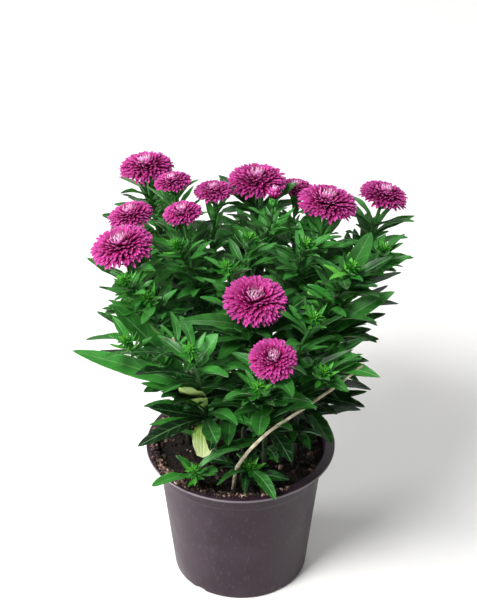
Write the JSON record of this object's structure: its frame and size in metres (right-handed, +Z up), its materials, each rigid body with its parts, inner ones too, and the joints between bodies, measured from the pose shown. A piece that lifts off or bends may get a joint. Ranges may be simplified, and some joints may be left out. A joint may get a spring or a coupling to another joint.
{
  "type": "potted aster",
  "caption": "Bushy potted aster with double magenta flower heads on leafy branching shoots, standing in soil in a round tapered nursery pot.",
  "frame": {"origin": "middle of the pot's flat base, on the surface that the plant stands on", "axes": "+Z up, -Y towards the viewer of the picture, +X to the viewer's right"},
  "size_m": [0.2212, 0.2426, 0.2914],
  "materials": {
    "pot": "grey-mauve thermoformed nursery pot plastic, softly glossy",
    "soil": "damp black-brown potting soil with crumbs",
    "leaf": "green leaves and stems, faintly waxy",
    "straw": "dry straw-coloured stalk",
    "petal": "velvety magenta petals with lighter tips"
  },
  "bodies": {
    "root": {"pot": "pot", "soil": "soil", "dry_stalk": "straw", "shoot_01": "leaf", "shoot_02": "leaf", "shoot_03": "leaf", "shoot_04": "leaf", "shoot_05": "leaf", "shoot_06": "leaf", "shoot_07": "leaf", "shoot_08": "leaf", "shoot_09": "leaf", "shoot_10": "leaf", "shoot_11": "leaf", "shoot_12": "leaf", "low_shoot_left": "leaf", "low_shoot_front": "leaf", "bloom_01": "petal", "bloom_02": "petal", "bloom_03": "petal", "bloom_04": "petal", "bloom_05": "petal", "bloom_06": "petal", "bloom_07": "petal", "bloom_08": "petal", "bloom_09": "petal", "bloom_10": "petal", "bloom_11": "petal", "bloom_12": "petal", "bloom_13": "petal", "bloom_14": "petal", "bloom_15": "petal", "bloom_16": "petal"}
  },
  "joints": []
}
